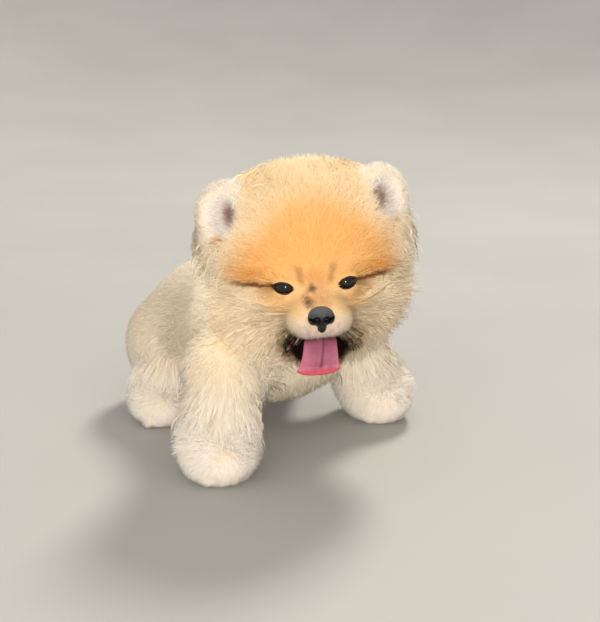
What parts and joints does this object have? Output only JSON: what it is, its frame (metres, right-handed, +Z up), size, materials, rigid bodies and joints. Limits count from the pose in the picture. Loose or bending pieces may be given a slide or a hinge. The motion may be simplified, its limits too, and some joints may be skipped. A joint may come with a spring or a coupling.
{
  "type": "pomeranian puppy",
  "caption": "Fluffy Pomeranian puppy in mid step, head turned to its right, mouth open with the tongue out, curled tail, life size",
  "frame": {"origin": "on the floor under the middle of the puppy's box", "axes": "+Z up, the nose towards -Y, the puppy's left towards +X"},
  "size_m": [0.1826, 0.2308, 0.1737],
  "materials": {
    "coat_orange": "soft puppy coat, orange sable",
    "coat_cream": "soft puppy coat, cream",
    "coat_pale": "soft puppy coat, pale cream",
    "eye": "wet and glossy",
    "nose": "moist black leather grain",
    "tongue": "wet, fine papillae"
  },
  "bodies": {
    "root": {"eye_left": "eye", "eye_right": "eye", "nose": "nose", "tongue": "tongue", "lower_jaw": "coat_cream", "ear_left": "coat_pale", "ear_right": "coat_pale", "head": "coat_orange", "neck": "coat_cream", "torso": "coat_cream", "foreleg_left": "coat_pale", "foreleg_right": "coat_pale", "hindleg_left": "coat_pale", "hindleg_right": "coat_pale", "tail": "coat_cream"}
  },
  "joints": []
}
